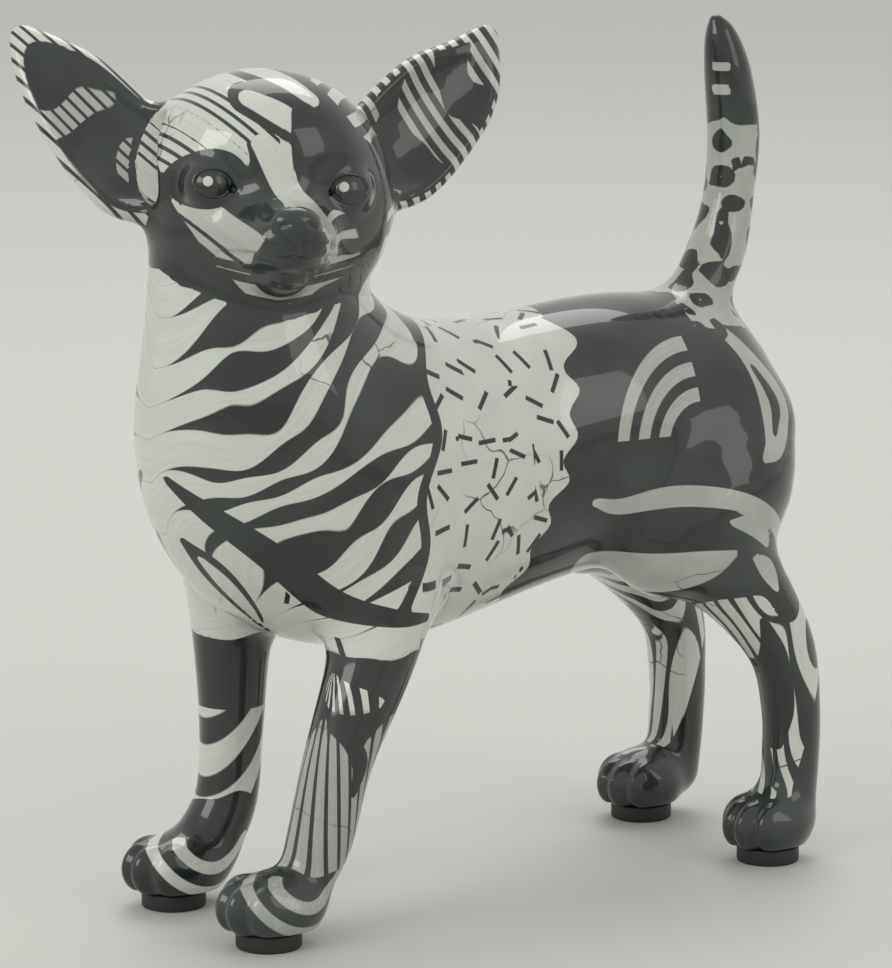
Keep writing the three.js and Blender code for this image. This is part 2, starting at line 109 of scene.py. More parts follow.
class Limb:
    """A tapered limb along stations (x, y, z, radius); squash narrows its section."""

    LEAST_RADIUS = 0.05
    STEEPEST = 0.95

    def __init__(self, stations, axes=None, squash=(1, 1, 1), steps=5):
        curve = smooth_stations(stations, steps)
        self.axes = np.eye(3) if axes is None else axes
        self.squash = np.asarray(squash, float)
        self.start = curve[0, :3]
        self.knots = self.scaled(curve[:, :3])
        self.radii = np.maximum(curve[:, 3], self.LEAST_RADIUS)
        reach = self.radii.max() * self.squash.max()
        self.low = curve[:, :3].min(0) - reach
        self.high = curve[:, :3].max(0) + reach

    def scaled(self, points):
        return ((points - self.start) @ self.axes.T) / self.squash

    def distance(self, points):
        local = self.scaled(points)
        nearest = np.full(points.shape[:-1], np.inf)
        for a, b, r0, r1 in zip(self.knots, self.knots[1:], self.radii, self.radii[1:]):
            length = np.linalg.norm(b - a)
            along = (b - a) / length
            sine = np.clip((r1 - r0) / length, -self.STEEPEST, self.STEEPEST)
            offset = local - a
            h = offset @ along
            out = np.sqrt(np.maximum((offset**2).sum(-1) - h * h, 0))
            t = np.clip((h + out * sine / math.sqrt(1 - sine * sine)) / length, 0, 1)
            past = h - t * length
            nearest = np.minimum(nearest, np.hypot(past, out) - (r0 + (r1 - r0) * t))
        return nearest * self.squash.min()


class Below:
    """Everything below a level, within reach of one paw."""

    def __init__(self, level, place, reach):
        self.level = level
        self.low = np.array([place[0] - reach, place[1] - reach, level - reach])
        self.high = np.array([place[0] + reach, place[1] + reach, level])

    def distance(self, points):
        return points[..., 2] - self.level


# A blend works where two distances differ by less than this many times its size
BLEND_REACH = 1.5


def soft_union(a, b, blend):
    if blend <= 0:
        return np.minimum(a, b)
    width = BLEND_REACH * blend
    h = np.maximum(width - np.abs(a - b), 0) / width
    return np.minimum(a, b) - h**3 * width / 6


class Sculpture:
    """Forms that are added or cut one after another, each with its own soft blend."""

    EMPTY = 1e3
    # Beyond its blend, a form counts this much further out, so that distances stay true near it
    COUNTED = 7

    def __init__(self):
        self.steps = []

    def add(self, form, blend):
        self.steps.append((form, blend, 1))

    def cut(self, form, blend):
        self.steps.append((form, blend, -1))

    def grid(self, axes):
        values = np.full([len(axis) for axis in axes], self.EMPTY, np.float32)
        for form, blend, sign in self.steps:
            margin = BLEND_REACH * blend + self.COUNTED
            part = tuple(
                slice(*np.searchsorted(axis, [low - margin, high + margin]))
                for axis, low, high in zip(axes, form.low, form.high)
            )
            held = values[part]
            if held.size == 0:
                continue
            places = np.meshgrid(*[axis[s] for axis, s in zip(axes, part)], indexing="ij")
            other = form.distance(np.stack(places, -1))
            values[part] = sign * soft_union(sign * held, other, blend)
        return values

    def distance(self, points):
        total = np.full(len(points), self.EMPTY)
        for form, blend, sign in self.steps:
            margin = BLEND_REACH * blend + self.COUNTED
            near = np.all((points > form.low - margin) & (points < form.high + margin), -1)
            if near.any():
                other = form.distance(points[near])
                total[near] = sign * soft_union(sign * total[near], other, blend)
        return total

    def slope(self, points, nudge=0.03):
        """The slope of the distance, and the distance, from four places round each point."""
        ways = np.array([(1, -1, -1), (-1, -1, 1), (-1, 1, -1), (1, 1, 1)])
        around = np.stack([self.distance(points + way * nudge) for way in ways], -1)
        return around @ ways / (4 * nudge), around.mean(-1)


# The dog, form by form, with the CAD part's numbers unless a function says otherwise


def add_trunk(dog):
    dog.add(Ball((0, -15.1, 45.4), (12, 23.9, 17.3)), 0)
    dog.add(Ball((0, 5.8, 48.2), (11.8, 24.5, 15.5)), 8)
    dog.add(Ball((0, -26.1, 53.4), (11.8, 16.6, 17.2)), 6)
    dog.add(Ball((0, 22.1, 51.7), (12.6, 19.9, 13.3)), 7)
    neck = [
        (0, -24, 52, 13.5),
        (0.6, -28.5, 61, 12),
        (0.4, -29.6, 71, 11.1),
        (1.4, -26.1, 78, 11.6),
    ]
    dog.add(Limb(neck, squash=(0.92, 1.06, 1)), 5)
    dog.add(Limb([(0, -6.4, 52.8, 7.8), (0, -14.1, 57.2, 6.6), (0.6, -21.4, 63.7, 3.8)]), 6)


def add_foreleg(dog, side):
    lean = 3 if side == LEFT else 0
    dog.add(Ball((side * 8, -22.4 + lean, 43), (6, 9.5, 12)), 4)
    left = [
        (9, -17.8, 35.5, 5.7),
        (10.2, -20.8, 28, 4.8),
        (10.6, -25.2, 18, 3.9),
        (10.4, -27.5, 9.5, 3.7),
        (10.2, -29.5, 4.5, 3),
    ]
    right = [
        (-9, -25.9, 35.5, 6.2),
        (-10, -26.2, 28, 4.5),
        (-10.2, -26.3, 18, 3.7),
        (-10.2, -27, 10, 3.6),
        (-10.2, -29.4, 5, 3.8),
    ]
    dog.add(Limb(left if side == LEFT else right), 3.2)


def add_hindleg(dog, side):
    thigh = [(6.6, 31.7, 49.1, 8.2), (7.6, 27.7, 42.7, 10), (8.8, 21.2, 37.6, 6.8)]
    dog.add(Limb([(side * x, *rest) for x, *rest in thigh]), 4)
    back = 2.2 if side == RIGHT else 0
    shin = [
        (9.8, 26.2, 37, 7),
        (11.2, 31.2 + back * 0.4, 31, 5.2),
        (12.2, 36 + back, 23.5, 4),
        (12.5, 37.4 + back, 16, 3.5),
        (12.6, 37.3 + back, 9, 3.4),
        (12.6, 36.8 + back, 3.5, 3.3),
    ]
    dog.add(Limb([(side * x, *rest) for x, *rest in shin]), 2.6)


def add_tail(dog):
    stations = [
        (0, 30.5, 56, 7),
        (0, 32.4, 63.5, 3.9),
        (0, 35.5, 70, 3.4),
        (0, 37, 76, 3),
        (0, 37.6, 83, 3.1),
        (0, 36.7, 90, 2.8),
        (0, 35.7, 94.2, 2),
        (0, 34.9, 96.3, 0.9),
    ]
    dog.add(Limb(stations), 4)


def add_paw(dog, side, stance, body, toe):
    """One paw; its toes blend a little softer than the CAD's."""
    x, y = side * stance[0], stance[1]
    dog.add(Ball((x, y + body["back"], body["up"]), body["radii"]), 2)
    toes = [(-3.1, toe["outer"]), (-1.1, toe["inner"]), (1.1, toe["inner"]), (3.1, toe["outer"])]
    for across, forward in toes:
        dog.add(Ball((x + across, y - forward, toe["up"]), (1.45, 2.7, 2.9)), 0.8)
    dog.cut(Below(0, (x, y), 12), 0.3)


def head_axes(turn, lift, tilt):
    """The head's own axes as rows: to its left, forward out of the face, and up."""
    a, p, r = (math.radians(degrees) for degrees in (turn, lift, tilt))
    forward = np.array([math.sin(a) * math.cos(p), -math.cos(a) * math.cos(p), math.sin(p)])
    level = np.array([math.cos(a), math.sin(a), 0])
    upright = np.cross(level, forward)
    raised = upright if upright[2] > 0 else -upright
    left = level * math.cos(r) + raised * math.sin(r)
    up = raised * math.cos(r) - level * math.sin(r)
    return np.array([left, forward, up])


# Places on the head are to its left, forward and up from its middle
HEAD_CENTRE = np.array([0.8, -28.6, 80.5])
FACE = head_axes(turn=71, lift=9, tilt=-4)


def on_head(place):
    return HEAD_CENTRE + np.asarray(place, float) @ FACE


def head_limb(stations, **shape):
    placed = [(*on_head(station[:3]), station[3]) for station in stations]
    return Limb(placed, steps=4, **shape)


SKULL = Ball(on_head((0, -1.5, 1.9)), (13.1, 12.2, 11.2), FACE)
LID_RADII = (2.95, 2.9, 2.85)
EYEBALL_RADIUS = 2.6
EYE_OPENING = (7.6, 10.5, -0.2)
EYES = {side: on_head((side * 7.5, 7.8, -0.1)) for side in (LEFT, RIGHT)}


def add_head(dog):
    dog.add(SKULL, 4)
    dog.add(Ball(on_head((0, 0.2, -4.5)), (12.1, 10.6, 8.4), FACE), 1.5)
    dog.add(Ball(on_head((0, 3.6, 4.6)), (9.4, 8, 7), FACE), 4)
    muzzle = [(0, 6, -4.8, 5.8), (0, 11, -5.8, 4.6), (0, 14.6, -6.2, 3.5)]
    dog.add(head_limb(muzzle, axes=FACE, squash=(1.24, 1, 0.94)), 3)
    jaw = [(0, 5, -9, 4.2), (0, 9.6, -9.5, 2.9), (0, 12.4, -9.3, 1.9)]
    dog.add(head_limb(jaw, axes=FACE, squash=(1.2, 1, 0.9)), 0.8)
    dog.add(Ball(on_head((0, 16.9, -4.3)), (2.7, 1.9, 1.75), FACE), 0.7)
    for side in (LEFT, RIGHT):
        dog.cut(Ball(on_head((side * 7.9, 12.6, -0.1)), (4.2, 2.6, 3.4), FACE), 1.6)
        dog.add(Ball(EYES[side], LID_RADII, FACE), 1.1)
        add_lids(dog, side)
        add_ear(dog, side)
    add_mouth(dog)


def add_lids(dog, side):
    """Finer than the CAD's mound: an opening between two lids, with the eyeball behind it."""
    opening = on_head((side * EYE_OPENING[0], *EYE_OPENING[1:]))
    dog.cut(Ball(opening, (2.3, 1.5, 1.6), FACE), 0.2)
    corner = [(5.3, 9.9, -0.6, 0.5), (4.6, 9.8, -1.1, 0.25)]
    dog.cut(head_limb([(side * x, *rest) for x, *rest in corner]), 0.2)
    dog.add(Ball(EYES[side], EYEBALL_RADIUS), 0.15)


def add_mouth(dog):
    """Grooves the CAD leaves out: the line of the mouth, the cleft under the nose, nostrils."""
    half = [
        (0, 17.3, -8.3, 0.35),
        (1.9, 16.6, -8.5, 0.4),
        (3.7, 14.8, -8, 0.4),
        (5.1, 12, -7.7, 0.3),
        (6.7, 9.5, -7.5, 0.1),
    ]
    for side in (LEFT, RIGHT):
        dog.cut(head_limb([(side * x, *rest) for x, *rest in half]), 0.5)
        nostril = [(side * 1.1, 18.7, -4.6, 0.3), (side * 1.9, 18.1, -4.9, 0.2)]
        dog.cut(head_limb(nostril), 0.25)
    cleft = [(0, 18.3, -5.8, 0.25), (0, 17.9, -7.1, 0.3), (0, 17.4, -8.4, 0.3)]
    dog.cut(head_limb(cleft), 0.6)


def add_ear(dog, side):
    """A large pricked ear: a leaf from base to tip, with a hollow in front, which it returns."""
    left = [
        (12.6, -2, 3.8, 5.5),
        (16.2, -4, 5.5, 6.6),
        (21, -6, 10.4, 6.3),
        (24.7, -8, 13.8, 4.7),
        (27.8, -9.3, 18.9, 1.5),
    ]
    right = [
        (-13.1, -2, 2.6, 6.9),
        (-16.1, -4, 5.1, 6.1),
        (-20.1, -6, 10, 5.1),
        (-23.2, -8, 13.6, 3.3),
        (-25.2, -9.3, 16.2, 1.5),
    ]
    leaf = [(*on_head(s[:3]), s[3]) for s in (left if side == LEFT else right)]
    base, tip = np.array(leaf[0][:3]), np.array(leaf[-1][:3])
    along = unit(tip - base)
    front = unit(FACE[1] - along * (FACE[1] @ along))
    shape = {
        "axes": np.array([along, np.cross(along, front), front]),
        "squash": (1, 1, 0.42),
        "steps": 4,
    }
    dog.add(Limb(leaf, **shape), 1.5)
    inner = [(*(np.array(s[:3]) + front * 1.9), s[3] - 1.3) for s in leaf]
    hollow = Limb(inner, **shape)
    dog.cut(hollow, 0.7)
    return hollow


def sculpt_dog():
    dog = Sculpture()
    add_trunk(dog)
    for side in (LEFT, RIGHT):
        add_foreleg(dog, side)
    for side in (LEFT, RIGHT):
        add_hindleg(dog, side)
    add_tail(dog)
    fore_paw = {"back": 0.9, "up": 2.3, "radii": (5.2, 5.7, 4.1)}
    hind_paw = {"back": 0.5, "up": 2.5, "radii": (4.9, 4.6, 4.2)}
    for side in (LEFT, RIGHT):
        add_paw(dog, side, STANCE_FORE, fore_paw, {"outer": 1.6, "inner": 3.4, "up": 2.7})
        add_paw(dog, side, STANCE_HIND, hind_paw, {"outer": 1.5, "inner": 3.1, "up": 2.5})
    add_head(dog)
    return dog


# The surface: surface nets on an even grid, then faces halved twice by the eyes and where
# the surface bends
STEP = 0.6
HALVINGS = 2
LOW_CORNER, HIGH_CORNER = (-20.5, -51, -1.2), (20.5, 45, 101)
BEND_DEGREES = 24
EYE_REACH = 3.6


def surface_nets(values, axes):
    """One point in each cell that the surface crosses, one face across each crossed edge."""
    inside = values < 0
    counts = np.zeros([n - 1 for n in values.shape], np.int8)
    for corner in np.ndindex(2, 2, 2):
        part = tuple(slice(c, c + n) for c, n in zip(corner, counts.shape))
        counts += inside[part]
    crossed = (counts > 0) & (counts < 8)
    point_of = np.full(crossed.shape, -1)
    point_of[crossed] = np.arange(crossed.sum())
    cells = np.argwhere(crossed)
    total, number = np.zeros(cells.shape), np.zeros(len(cells))

    def place(index):
        return np.stack([axes[n][index[:, n]] for n in range(3)], -1)

    for axis in range(3):
        for u, v in np.ndindex(2, 2):
            start = cells + np.insert([u, v], axis, 0)
            end = start + np.eye(3, dtype=int)[axis]
            here, there = values[tuple(start.T)], values[tuple(end.T)]
            changes = (here < 0) != (there < 0)
            share = np.where(changes, here / np.where(changes, here - there, 1), 0)
            crossing = place(start) + (place(end) - place(start)) * share[:, None]
            total += np.where(changes[:, None], crossing, 0)
            number += changes
    faces = []
    for axis in range(3):
        u, v = (axis + 1) % 3, (axis + 2) % 3
        near = [slice(None)] * 3
        far = [slice(None)] * 3
        near[axis], far[axis] = slice(0, -1), slice(1, None)
        edges = np.argwhere(inside[tuple(near)] != inside[tuple(far)])
        flipped = ~inside[tuple(edges.T)]
        quad = []
        for du, dv in ((1, 1), (0, 1), (0, 0), (1, 0)):
            cell = edges.copy()
            cell[:, u] -= du
            cell[:, v] -= dv
            quad.append(point_of[tuple(cell.T)])
        quad = np.stack(quad, -1)
        quad[flipped] = quad[flipped][:, ::-1]
        faces.append(quad)
    return total / number[:, None], np.vstack(faces)


def settle(points, sculpture, reach, gentlest=0.2):
    """Moves the points along the slope, twice, onto the surface."""
    for _ in range(2):
        slope, distance = sculpture.slope(points)
        miss = np.clip(distance, -reach, reach)
        points = points - slope * (miss / np.maximum((slope**2).sum(-1), gentlest))[:, None]
    return points


def normals_of(points, sculpture):
    slope, _ = sculpture.slope(points)
    return slope / np.linalg.norm(slope, axis=1)[:, None]


def halved(points, faces, chosen):
    """Splits the chosen four-sided faces in four; the faces beside them take the new corners."""
    points, middles, made = list(points), {}, []

    def middle(a, b):
        key = (min(a, b), max(a, b))
        if key not in middles:
            middles[key] = len(points)
            points.append((points[a] + points[b]) / 2)
        return middles[key]

    for face in (faces[index] for index in np.flatnonzero(chosen)):
        sides = [middle(a, b) for a, b in zip(face, face[1:] + face[:1])]
        centre = len(points)
        points.append(sum(points[corner] for corner in face) / len(face))
        for n, corner in enumerate(face):
            made.append([corner, sides[n], centre, sides[n - 1]])
    for face in (faces[index] for index in np.flatnonzero(~chosen)):
        grown = []
        for a, b in zip(face, face[1:] + face[:1]):
            grown.append(a)
            if (min(a, b), max(a, b)) in middles:
                grown.append(middles[min(a, b), max(a, b)])
        made.append(grown)
    return np.array(points), made


def four_sided(faces):
    return np.array([len(face) == 4 for face in faces])


def bent_faces(faces, normals, degrees):
    """Which of the four-sided faces turn by more than an angle from corner to corner."""
    square = four_sided(faces)
    corners = normals[[face[:4] if len(face) == 4 else face[:1] * 4 for face in faces]]
    turns = [(corners[:, a] * corners[:, b]).sum(-1) for a, b in ((0, 2), (1, 3), (0, 1), (2, 3))]
    return square & (np.min(turns, axis=0) < math.cos(math.radians(degrees)))


dog = sculpt_dog()
axes = [np.arange(low, high, STEP) for low, high in zip(LOW_CORNER, HIGH_CORNER)]
points, quads = surface_nets(dog.grid(axes), axes)
points = settle(points, dog, STEP)
faces = quads.tolist()
normals = normals_of(points, dog)
for _ in range(HALVINGS):
    firsts = points[[face[0] for face in faces]]
    to_eyes = [np.linalg.norm(firsts - eye, axis=1) for eye in EYES.values()]
    by_eye = np.min(to_eyes, axis=0) < EYE_REACH
    chosen = bent_faces(faces, normals, BEND_DEGREES) | (by_eye & four_sided(faces))
    points, faces = halved(points, faces, chosen)
    points = settle(points, dog, STEP / 4)
    normals = normals_of(points, dog)

# The print, in a plain design of its own: stripes, dashes, spots, rings and leaves, along with a
# painted highlight on each eye and a painted shadow line under the chin. Each point of the
# surface carries a few smooth fields, and the material draws crisp edges from them.


def ripple(points, scale, seed, waves=7):
    """Smooth noise from about -1 to 1, from waves of about the same length in random ways."""
    random = np.random.default_rng(seed)
    total = np.zeros(len(points))
    for _ in range(waves):
        way = unit(random.normal(size=3)) / (scale * random.uniform(0.7, 1.5))
        total += np.sin(2 * math.pi * (points @ way + random.uniform()))
    return total / 3


def rise(value, start, end):
    """From 0 at the start to 1 at the end, smoothly."""
    t = np.clip((value - start) / (end - start), 0, 1)
    return t * t * (3 - 2 * t)


def drawn(across, up, stations, steps=6):
    """Distance to a brush stroke on a flat sheet, along stations (across, up, half width)."""
    stroke = Limb([(a, b, 0, r) for a, b, r in stations], steps=steps)
    return stroke.distance(np.stack([across, up, np.zeros(len(up))], -1))


class Print:
    """Stripes and dashes lie below; what black and white paint over them is in tone, where
    cover is above zero. Phase and duty count in stripes, grey is a share of grey in the white,
    and the rest are distances in shares."""

    FAR = 2.0

    def __init__(self, count):
        self.phase, self.duty, self.grey = np.zeros((3, count))
        self.tone = np.full(count, self.FAR)
        self.cover, self.dash = np.full((2, count), -self.FAR)

    def stripes(self, where, phase, duty):
        self.phase = np.where(where, phase, self.phase)
        self.duty = np.where(where, np.clip(duty, 0, 1), self.duty)

    def black(self, distance):
        self.tone = np.minimum(self.tone, distance)
        self.cover = np.maximum(self.cover, -distance)

    def white(self, distance):
        self.tone = np.maximum(self.tone, -distance)
        self.cover = np.maximum(self.cover, -distance)

    def bare(self, distance):
        self.cover = np.minimum(self.cover, distance)


art = Print(len(points))
x, y, z = points.T
wobble = ripple(points, 9, 3)
drift = ripple(points, 17, 4)
leftward, forward, upward = ((points - HEAD_CENTRE) @ FACE.T).T

# Ways round the neck and round the ribs, as lengths
BODY_RADIUS = 12.5
round_neck = BODY_RADIUS * np.arctan2(x - 0.5, -(y + 27))
round_ribs = BODY_RADIUS * np.arctan2(x, z - 48)


def within(form, *limits):
    """The part of a form that keeps inside the limits; each is a distance, negative inside."""
    return np.maximum.reduce(np.broadcast_arrays(form, *limits))


def root_line(distance, middle, half_width):
    """A line where one form leaves another; beyond its edges the distance grows quickly."""
    off = np.abs(distance - middle) - half_width
    return np.where(off > 0, 4 * off, off)


def print_neck():
    """Sweeping bands that come down to points on both sides of a pale front."""
    side = np.abs(round_neck)
    shoulder = -14 + 0.22 * (z - 54) + 0.9 * np.sin(0.5 * z)
    phase = (z - 0.62 * side + 2.3 * drift) / 4.9
    fade = rise(side, 1.5, 9) * rise(z + 0.3 * side, 38, 50)
    art.stripes(y < shoulder, phase, (0.58 + 0.3 * wobble) * fade)
    art.black(within(np.abs(y - shoulder) - 0.8, 33.5 - z))
    sweep = [
        (2, 50, 0.5),
        (7, 45.5, 1.4),
        (14, 40, 2),
        (20, 36, 1.7),
        (25, 34, 1.1),
        (28, 33.5, 0.6),
    ]
    leaf = [(2.2, 43, 0.5), (4.8, 39, 2), (7.4, 34, 2), (9.2, 30.5, 0.6)]
    heart = [(3.6, 40.9, 0.4), (5.3, 38, 1.1), (7, 34.8, 1.1), (8.2, 32.4, 0.5)]
    for way in (LEFT, RIGHT):
        across = round_neck * way
        art.black(within(drawn(across, z, sweep), y + 8))
        art.black(within(drawn(across, z, leaf), y + 28))
        art.white(within(drawn(across, z, heart), y + 28))


def print_ribs():
    """Short dashes on white between the shoulder and the rump, and under the neck's sweep."""
    shoulder = -15 + 0.22 * (z - 54)
    rump = 4 + 0.3 * (z - 48)
    flank = np.minimum.reduce([y - shoulder, rump - y, 68 - z])
    under_sweep = 47.5 - 0.72 * np.abs(round_neck) - z
    low_front = np.minimum.reduce([under_sweep, np.abs(x) - 7, y + 31])
    art.dash = np.clip(np.maximum(flank, low_front), -Print.FAR, Print.FAR)


def print_rump():
    """Black, with pale ribbons, a leaf, rings and a rounded pool at the flank."""
    art.black(4 + 0.3 * (z - 48) + 0.8 * np.sin(1.25 * z) + 0.5 * wobble - y)
    waist = [
        (8, 43.5, 0.5),
        (12, 42.6, 1),
        (19, 43.6, 1.2),
        (26, 42.2, 1.1),
        (32, 38, 0.9),
        (34, 33, 0.5),
    ]
    seat = [(36.5, 57, 0.5), (38.3, 50, 0.9), (37.8, 43, 0.9), (36.2, 37, 0.5)]
    leaf = [(27, 63, 0.5), (31, 58.5, 1.2), (32.4, 53, 2.4), (31, 48.8, 1.7), (28.8, 47.2, 0.5)]
    vein = [(31.2, 57, 0.4), (32.3, 52.8, 0.8), (31.2, 49.8, 0.4)]
    pool = [(10, 35.5, 1.4), (14.5, 34.4, 2.6), (20, 35, 2.2), (24, 36.6, 0.5)]
    drops = (
        [(23.5, 40.4, 0.4), (26.8, 39.7, 1.3), (29.4, 37.2, 0.5)],
        [(27.2, 35.9, 0.4), (29.6, 34, 1.2), (31, 31.6, 0.4)],
    )
    for way in (LEFT, RIGHT):
        near = 1.5 - x * way
        shift = 1.0 if way == LEFT else -1.5
        for stroke in (waist, seat, leaf, pool, *drops):
            art.white(within(drawn(y - shift, z, stroke), near))
        art.black(within(drawn(y - shift, z, vein), near))
        rings = np.hypot(y - 22 - shift, z - 49.5)
        fan = within(np.abs(rings - 8.4) - 4.2, near, y - 22 - shift, 50.5 - z)
        art.stripes(fan < 1.5, rings / 2.8 + 0.1, 0.45)
        art.bare(fan)
    art.grey += 0.5 * rise(y, 6, 12) * rise(z, 30, 34)


def print_tail():
    """White with black spots, and a black tip with pale bars."""
    foot = z - 61.5 - 0.8 * np.sin(2.2 * x + 0.5 * y)
    off_tail = 26 - y
    art.white(within(-foot, off_tail))
    random = np.random.default_rng(8)
    rough = 0.4 * ripple(points, 2.4, 9)
    placed = []
    spotted = np.flatnonzero((off_tail < 0) & (foot > 0) & (z < 86))
    for index in random.permutation(spotted):
        spot = points[index]
        if all(np.linalg.norm(spot - other) > 2.9 for other in placed):
            placed.append(spot)
            art.black(Ball(spot, random.uniform(0.7, 2, 3)).distance(points) + rough)
    art.black(within(85 + 0.7 * np.sin(1.6 * x) - z, off_tail))
    for height, width in ((88.5, 0.6), (91.2, 0.5)):
        bar = np.maximum(np.abs(z - height) - width, np.abs(x + y - 36) - 1.6)
        art.white(within(bar, off_tail))


def print_hindlegs():
    """Long stripes round the hocks, black heels and paws."""
    for way in (LEFT, RIGHT):
        off = np.maximum(1 - x * way, 12 - y)
        knee = z - 30.5 - 1.2 * wobble
        flow = (0.9 * x * way + 0.35 * y + 0.16 * z + 0.5 * wobble) / 1.7
        art.stripes(np.maximum(off, knee - 1) < 0, flow, 0.42 + 0.2 * drift)
        art.bare(within(knee, off))
        art.black(within(np.abs(knee) - 0.8, off))
        heel = (40.3 if way == LEFT else 42.3) - 0.3 * (24 - z) - y
        art.black(within(heel, z - 24, off))
        shin = [(30.5, 28, 0.5), (33, 23, 1.3), (34.5, 17, 1.1), (34.2, 12, 0.5)]
        art.black(within(drawn(y, z, shin), off, 10.5 - x * way))
        art.black(within(z - 6.6 - 0.8 * wobble, off))


def paw_arcs(way, off):
    """Two pale arcs over the outer side of a forepaw."""
    beyond = np.linalg.norm(points - (way * 10.2 + 6, -31, 9), axis=1)
    for radius in (6.2, 9):
        art.white(within(np.abs(beyond - radius) - 0.65, z - 6.2, off))


LEG_RADIUS = 3.7
PINSTRIPES = 20


def print_forelegs():
    """Black above, pale pinstripes on the left or bold bands on the right below, black paws."""
    for way in (LEFT, RIGHT):
        off = np.maximum(2 - x * way, y + 8)
        turn = np.arctan2(x - way * 10.3, -(y + 25.5))
        round_leg = turn * LEG_RADIUS
        elbow = z - 29 - 0.9 * wobble
        leg = (off < 0) & (elbow < 0.4)
        art.dash = np.where(leg, -Print.FAR, art.dash)
        if way == LEFT:
            window = [(0.4, 26.6, 0.9), (3.2, 26, 1.9), (6, 25.2, 1.5), (7.6, 24.8, 0.6)]
            hook = [(2.8, 22.4, 0.5), (5.2, 20.8, 0.9), (6.4, 17.8, 1), (5.6, 14.8, 0.5)]
            pinstripes = turn * PINSTRIPES / (2 * math.pi)
            art.stripes(leg, pinstripes, 0.3 + 0.3 * rise(z, 20.5, 22.5))
            art.grey += np.where(leg & (z < 24), 0.6, 0)
            art.black(within(elbow, 21.5 + 1.5 * np.sin(3 * turn) - z, off))
            art.bare(np.where(off < 0, drawn(round_leg, z, window), Print.FAR))
            art.black(within(drawn(round_leg, z, hook), off))
        else:
            art.stripes(leg, (z + 5 * np.cos(turn)) / 6.5, 0.5 + 0.1 * drift)
            art.black(within(elbow, 20.5 - z, off))
            art.black(within(z - 11 - wobble, off))
        art.black(within((2.85 - np.abs(turn)) * LEG_RADIUS, elbow, off))
        art.black(within(np.abs(elbow) - 0.6, off))
        art.black(within(z - 6.4 - 0.9 * wobble, off))
        paw_arcs(way, off)


# How far each point lies off the head, and where the head's print ends below
head_only = Sculpture()
add_head(head_only)
off_head = head_only.distance(points)
THROAT = 62


def on_face(stations, outline=0.0):
    """Distance to a brush stroke on the front of the head, seen along its forward axis."""
    stroke = [(a, b, r + outline) for a, b, r in stations]
    return within(drawn(leftward, upward, stroke), 1 - forward, off_head - 1)


def print_head():
    """Bands over the crown, pinstripes on the brow, dark eyes and muzzle, and a black line under
    the chin that is painted shadow.
    """
    head = (off_head < 1) & (z > THROAT)
    away = rise(leftward, -1, 1)
    slant = np.where(
        leftward < 0,
        (upward + 0.9 * leftward) / 1.5,
        (upward - 0.55 * leftward + 0.8 * wobble) / 3.1,
    )
    thin = 0.36 * rise(np.sin(0.75 * (upward + 0.9 * leftward)), -0.5, 0.1)
    art.stripes(head, slant, thin * (1 - away) + (0.5 + 0.2 * drift) * away)
    collar = upward + 9.9 - 0.13 * np.abs(leftward) ** 1.3
    art.stripes(head & (collar < 0), collar / 1.9, 0.45)
    art.white(within(np.abs(leftward) - 0.9, off_head - 1, 1 - upward))
    # Painted shadow: a black line where the head leaves the neck, widest and furthest out under
    # the chin
    chin_shadow = rise(forward, 2, 6)
    art.black(within(root_line(off_head, 1 + 0.3 * chin_shadow, 0.4 + 0.5 * chin_shadow), THROAT - z))
    art.black(within(np.abs(collar) - 0.5, off_head - 1))
    crown = [
        (-2.5, 13.5, 1.2),
        (0.8, 11, 2.6),
        (3.4, 7.6, 3.2),
        (6.2, 4.6, 3),
        (9.5, 2, 2.6),
        (11.5, -2.5, 1.5),
    ]
    art.black(on_face(crown))
    for bar in (
        [(-3.8, 9.2, 1), (-0.8, 7.6, 1.3), (2.2, 5.8, 1.1)],
        [(-2.6, 13.2, 0.9), (0.6, 11.4, 1), (3.2, 9.3, 0.8)],
    ):
        art.black(on_face(bar, 1.1))
        art.white(on_face(bar))
    for stroke in (
        [(2, 7.5, 1.5), (2.1, 4.4, 1.7), (3.1, 1.6, 2.2), (4.2, -1.2, 1.5)],
        [(-3.9, 4.2, 0.5), (-3.1, 2.4, 0.9), (-2.8, 0, 1.5), (-1.9, -2.4, 1.3)],
        [(-12.8, 2, 0.6), (-12, -3, 1.4), (-9.6, -7.5, 1.6), (-6.5, -10.5, 0.6)],
        [(-12.6, -4.5, 0.9), (-12.4, -8.5, 1.2)],
        [(-5.6, -1.4, 1.5), (-3.8, -3, 1.7), (-2.8, -4.8, 1.3)],
    ):
        art.black(on_face(stroke))
    around = [(4.3, -1.2, 1.2), (6.8, 0.4, 3), (8.6, 0.3, 3.1), (10.9, 1, 1)]
    for way in (LEFT, RIGHT):
        art.black(on_face([(a * way, b, r) for a, b, r in around]))
        art.black(Ball(EYES[way], 3.1).distance(points))
    muzzle = head_limb([(0, 17, -6.6, 3.1), (0, 15.5, -8, 3.9), (0, 12.6, -9, 3.9)])
    art.black(muzzle.distance(points))
    bridge = [
        (-3, 4.4, 0.9),
        (-1.2, 1.6, 1.3),
        (0.5, -1.3, 1.4),
        (2.6, -2.8, 1.1),
        (4.4, -5, 1.1),
        (5.6, -7.4, 0.8),
    ]
    art.white(on_face(bridge))
    art.black(Ball(on_head((0, 17.2, -4.5)), (3.1, 2.2, 1.9), FACE).distance(points))
    art.grey += np.where(head, 0.5 * rise(-upward, 0, 6), 0)


